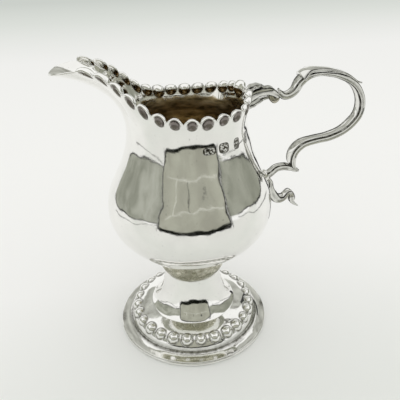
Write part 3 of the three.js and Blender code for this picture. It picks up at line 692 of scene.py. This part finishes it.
thumb_leaf = swept("thumb_leaf_blade", from_root([
    (40.8, 7.2), (42.4, 8.2), (45.0, 8.5), (48.0, 8.6), (52.8, 8.0), (58.2, 6.3), (62.0, 4.1), (64.0, 2.8),
    (65.5, 2.3)]), leaf_width, lambda x: 0.95 * mix(1, 0.5, smooth(x, 0.6, 1)),
    dish=0.22, bend=hooked, rings=130, lumps=0.06, seed=61)
set_piece(thumb_leaf, "thumb_leaf", handle_silver)

# ---- lower joint and lower scroll ---------------------------------------------------------------
# A ball of silver and solder holds the handle to the belly. A small C scroll runs from it to the
# main scroll's heel, ending in a point under it. Cast silver, grooved like the main scroll.
BALL_HALF_SIZE = (1.9, 2.5, 2.3)
angle = np.linspace(0, 2 * np.pi, 48, endpoint=False)
tilt_line = np.linspace(-np.pi / 2, np.pi / 2, 32)[1:-1]
ball = np.stack([np.sin(tilt_line)[:, None] + 0 * angle, np.cos(tilt_line)[:, None] * np.cos(angle),
                 np.cos(tilt_line)[:, None] * np.sin(angle)], -1) * BALL_HALF_SIZE
ball = ball * (1 + hammering(ball, (5, 3.5, 2.4), 0.25, 67)[..., None] / 2) + [JOINT_X - 0.1, 0, JOINT_LEVEL]
lower_joint = skin("lower_joint_pad", ball)
paint(lower_joint, "tarnish_and_shade", np.zeros(ball.shape[:2]))
set_piece(lower_joint, "lower_joint", handle_silver)

HEEL_X, HEEL_Z = 40.6, ROOT_LEVEL - 27.9
lower_scroll = swept("lower_scroll_bar", [
    (JOINT_X + 1.0, JOINT_LEVEL + 0.2), (JOINT_X + 2.6, JOINT_LEVEL + 1.4),
    (mix(JOINT_X, HEEL_X, 0.42), mix(JOINT_LEVEL, HEEL_Z, 0.75)), (mix(JOINT_X, HEEL_X, 0.72), HEEL_Z - 0.6),
    (HEEL_X - 0.3, HEEL_Z - 1.5), (HEEL_X + 1.4, HEEL_Z - 2.6), (HEEL_X + 2.9, HEEL_Z - 2.7)],
    lambda x: 3.6 * mix(1, 0.6, smooth(x, 0.6, 1)), lambda x: 2.3 * mix(1, 0.45, smooth(x, 0.6, 1)),
    groove=0.35, edge_groove=0.18, rings=100, seed=71)
set_piece(lower_scroll, "lower_scroll", handle_silver)

# ---- tail ---------------------------------------------------------------------------------------
# Below the joint the handle ends in a tail: a scroll that swings out and curls over a bud, a bright
# drop at its tip, and a small leaf hanging behind it. Cast silver, dark in its folds.
TAIL_X = 31.9


def from_joint(points):
    return [(TAIL_X + x, JOINT_LEVEL + z) for x, z in points]


tail_scroll = swept("tail_scroll_bar", from_joint([
    (-0.9, -0.8), (0.0, -2.4), (0.5, -5.6), (1.7, -8.9), (3.8, -10.6), (6.0, -10.3), (7.2, -8.9), (8.3, -8.2),
    (9.4, -8.9)]), lambda x: 5.4 * mix(0.55, 1, np.sin(np.pi * x)),
    lambda x: mix(1.5, 3.9, np.sin(np.pi * min(1, x * 1.05)) ** 4), groove=0.55, edge_groove=0.3, rings=120,
    lumps=0.3, seed=73)
set_piece(tail_scroll, "tail_scroll", handle_silver)
tail_bud = swept("tail_bud_ball", from_joint([(9.2, -8.6), (9.5, -10.9), (9.9, -12.7)]),
                 lambda x: 3.3 * mix(0.6, 1, np.sin(np.pi * x)),
                 lambda x: 3.0 * mix(0.6, 1, np.sin(np.pi * x)),
                 groove=0.15, rings=40, lumps=0.2, seed=79)
set_piece(tail_bud, "tail_bud", handle_silver)
tail_drop = swept("tail_drop_tip", from_joint([(9.8, -12.6), (11.1, -14.0), (12.9, -15.4)]),
                  lambda x: 1.9 * mix(1, 0.2, x), lambda x: 1.7 * mix(1, 0.2, x),
                  rings=30, lumps=0.05, seed=83)
set_piece(tail_drop, "tail_drop", handle_silver)
tail_leaf = swept("tail_leaf_blade", from_joint([(0.2, -5.8), (-0.5, -7.8), (-0.7, -10.4), (-1.0, -13.2)]),
                  lambda x: 3.2 * mix(1, 0.2, smooth(x, 0.2, 1)), lambda x: 0.9,
                  groove=0.3, bend=lobes, rings=50, seed=89)
set_piece(tail_leaf, "tail_leaf", handle_silver)

# ---- studio -------------------------------------------------------------------------------------
# A pale sheet on the floor, an even white sky, and the walls of a light tent that the silver mirrors:
# grey cloth at the sides and behind, a wide opening in front with dark edges, and thin seams.
scene = bpy.context.scene
scene.view_settings.view_transform = "Standard"
world = bpy.data.worlds.new("white_sky")
world.use_nodes = True
world.node_tree.nodes["Background"].inputs["Color"].default_value = (1.0, 1.0, 0.985, 1)
world.node_tree.nodes["Background"].inputs["Strength"].default_value = 1.0
scene.world = world


def card(name, corners, colour, second=None):
    """A flat glowing panel, in mm about the axis, that only mirrors show; `second` clouds its colour."""
    mesh = bpy.data.meshes.new(name)
    mesh.from_pydata((np.array(corners, float) * MM + AXIS).tolist(), [], [list(range(len(corners)))])
    made = bpy.data.objects.new(name, mesh)
    scene.collection.objects.link(made)
    shade = Shader(name + "_cloth")
    glow = shade.add("ShaderNodeEmission", Color=(*colour, 1), Strength=1.0)
    if second:
        clouds = shade.steps(shade.noise(110, 4), [(0.35, 0.0), (0.65, 1.0)])
        shade.put(glow, "Color", shade.blend(clouds, colour, second))
    out = shade.tree.nodes["Material Output"]
    shade.tree.links.new(glow.outputs[0], out.inputs["Surface"])
    mesh.materials.append(shade.material)
    made.visible_camera = False
    made.visible_diffuse = False
    made.visible_shadow = False
    return made


def upright(name, start_xy, end_xy, low, high, colour, second=None):
    """A card that stands on a line on the floor, from one height up to another."""
    (x0, y0), (x1, y1) = start_xy, end_xy
    return card(name, [(x0, y0, low), (x1, y1, low), (x1, y1, high), (x0, y0, high)], colour, second=second)


floor_mesh = bpy.data.meshes.new("floor_sheet")
floor_mesh.from_pydata([(-4, -4, 0), (4, -4, 0), (4, 4, 0), (-4, 4, 0)], [], [(0, 1, 2, 3)])
floor = bpy.data.objects.new("floor_sheet", floor_mesh)
scene.collection.objects.link(floor)
s = Shader("white_sheet")
# The sheet is painted darker in front of the jug and darker again far behind it: painted shade where the
# light falls off.
depth = s.add("ShaderNodeSeparateXYZ", Vector=s.place).outputs["Y"]
tone = s.steps(s.math("ADD", s.math("MULTIPLY", depth, 0.55), 0.2), [
    (0.10, (0.80, 0.805, 0.78)), (0.17, (0.80, 0.815, 0.785)), (0.215, (0.90, 0.90, 0.885)),
    (0.30, (0.90, 0.90, 0.885)), (0.50, (0.87, 0.87, 0.86)), (0.72, (0.71, 0.735, 0.705)),
    (0.95, (0.60, 0.63, 0.60))])
s.put(s.surface, "Base Color", tone)
s.put(s.surface, "Roughness", 0.9)
s.put(s.surface, "Specular IOR Level", 0.0)
floor_mesh.materials.append(s.material)

FRONT, SIDE = -300, 345
GREY, GREY_WARM = (0.45, 0.455, 0.38), (0.36, 0.36, 0.30)
BLACK = (0.006, 0.007, 0.005)
card("opening", [(x, FRONT, z) for x, z in (
    (-368, 30), (232, 30), (232, 280), (185, 330), (110, 405), (-368, 445))], GREY, second=GREY_WARM)
card("front_hem", [(x, FRONT + 2, z) for x, z in (
    (-330, 2), (205, 8), (236, 30), (228, 52), (120, 38), (20, 44), (-90, 36), (-200, 46), (-300, 40),
    (-372, 56), (-366, 24))], BLACK)
card("opening_top", [(x, FRONT + 2, z) for x, z in (
    (-370, 425), (-60, 412), (110, 395), (185, 322), (232, 270), (240, 290), (198, 352), (122, 430),
    (-60, 470), (-250, 500), (-374, 525))], BLACK)
upright("seam", (-280, FRONT + 2), (225, FRONT + 2), 145, 149, (0.75, 0.75, 0.68))
upright("upright_seam", (-182, FRONT + 2), (-176, FRONT + 2), 149, 200, (0.8, 0.8, 0.72))
upright("upright_crease", (-60, FRONT + 2), (-55, FRONT + 2), 149, 210, (0.08, 0.08, 0.07))
upright("lens", (44, FRONT + 3), (78, FRONT + 3), 172, 202, (0.10, 0.10, 0.09))
for name, edge_x, side in (("left", -368, -1), ("right", 232, 1)):
    upright(name + "_dark_edge", (edge_x - 10, FRONT + 4), (edge_x + 9, FRONT + 4), 30, 450, BLACK)
    upright(name + "_jamb", (edge_x, FRONT + 1), (edge_x + side * 20, FRONT + 1), 0, 560, (0.95, 0.95, 0.93))
    upright(name + "_jamb_line", (edge_x + side * 14, FRONT + 3), (edge_x + side * 24, FRONT + 3), 0, 420,
            (0.05, 0.05, 0.04))
for name, x, low_tone, high_tone in (("left", -SIDE - 40, (0.46, 0.47, 0.41), (0.27, 0.28, 0.23)),
                                     ("right", SIDE + 42, (0.38, 0.39, 0.33), (0.27, 0.28, 0.23))):
    slope = [(FRONT, 92), (-130, 72), (20, 36), (150, 22), (330, 8)]  # the lower edge of the grey cloth
    top = [(x, 330, 270), (x, 0, 280), (x, FRONT, 270)]
    card(name + "_wall", [(x, y, z) for y, z in slope] + top, low_tone, second=high_tone)
    for (y0, z0), (y1, z1) in zip(slope, slope[1:]):
        card(name + "_hem_%d" % y0, [(x * 0.99, y0, z0 - 4), (x * 0.99, y1, z1 - 4), (x * 0.99, y1, z1 + 5),
                                     (x * 0.99, y0, z0 + 5)], (0.02, 0.02, 0.018))
    # The floor sheet's curled edge.
    fold = [(x, FRONT, 70), (x, -150, 42), (x * 0.98, -40, 3), (x * 0.62, 130, 1)]
    for (x0, y0, z0), (x1, y1, z1) in zip(fold, fold[1:]):
        card(name + "_curl_%d" % y0, [(x0 * 0.98, y0, z0), (x1 * 0.98, y1, z1), (x1 * 0.98, y1, z1 + 5),
                                      (x0 * 0.98, y0, z0 + 5)], (0.10, 0.10, 0.09))

upright("right_return", (258, FRONT), (SIDE + 42, FRONT), 88, 270, (0.38, 0.39, 0.33), (0.27, 0.28, 0.23))
# A black card beside the jug, seen only in the silver: a painted dark reflection.
upright("dark_strip", (74, 54), (81, 48), 0, 66, (0.04, 0.04, 0.04))
card("back_cloth", [(-520, 420, 190), (520, 420, 190), (520, 420, 640), (-520, 420, 640)],
     (0.62, 0.63, 0.58), second=(0.30, 0.30, 0.27))

# ---- camera -------------------------------------------------------------------------------------
# It stands in front and a little to the left, above the rim, and looks down at the belly.
EYE = (-27.5, -160.5, 143.8)
RIGHT, UP, AHEAD = (0.9792, -0.2021, -0.0186), (0.1118, 0.4609, 0.8804), (0.1694, 0.8641, -0.4739)
lens = bpy.data.cameras.new("camera")
lens.lens = 43.03
lens.sensor_width = 36.0
lens.clip_start = 0.01
camera = bpy.data.objects.new("camera", lens)
turned_axes = Matrix((RIGHT, UP, [-c for c in AHEAD])).transposed().to_4x4()
camera.matrix_world = Matrix.Translation(Vector(np.array(EYE) * MM + AXIS)) @ turned_axes
scene.collection.objects.link(camera)
scene.camera = camera
